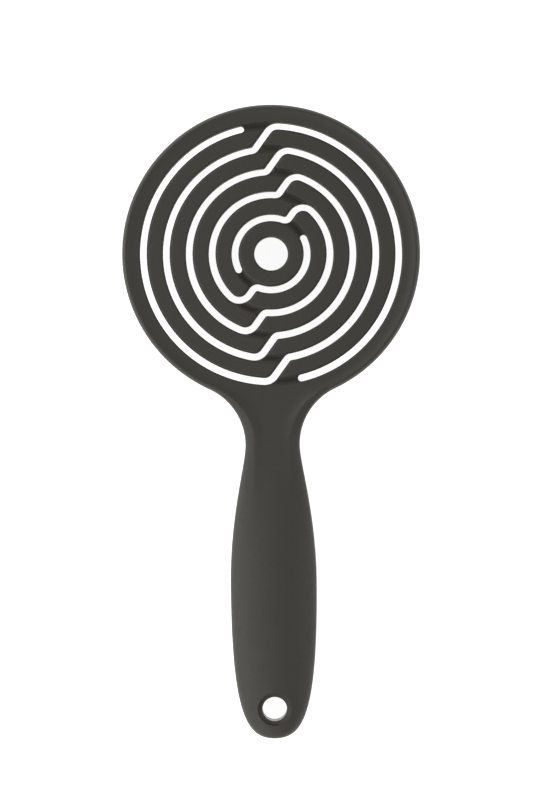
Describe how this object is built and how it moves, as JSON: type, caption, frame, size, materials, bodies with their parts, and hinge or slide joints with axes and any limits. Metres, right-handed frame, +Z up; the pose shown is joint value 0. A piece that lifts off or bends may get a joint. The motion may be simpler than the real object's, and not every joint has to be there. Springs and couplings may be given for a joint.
{
  "type": "round-headed vent hair brush",
  "caption": "Flat round-headed vent hair brush: thin slotted labyrinth disc over rings of stiff pins, short waisted neck and oval handle with a hanging hole.",
  "frame": {"origin": "on the table under the middle of the brush's overall length and width, with the brush lying pins down", "axes": "+Y along the handle towards the head, +Z up out of the back, +X to the right as the back is seen with the head away from the viewer"},
  "size_m": [0.094, 0.201, 0.0181],
  "materials": {
    "body": "matte soft-touch charcoal",
    "pins": "satin moulded nylon"
  },
  "bodies": {
    "root": {"body": "body", "pins_ring_1": "pins", "pins_ring_2": "pins", "pins_ring_3": "pins", "pins_ring_4": "pins", "pins_ring_5": "pins", "pins_ring_6": "pins"}
  },
  "joints": []
}
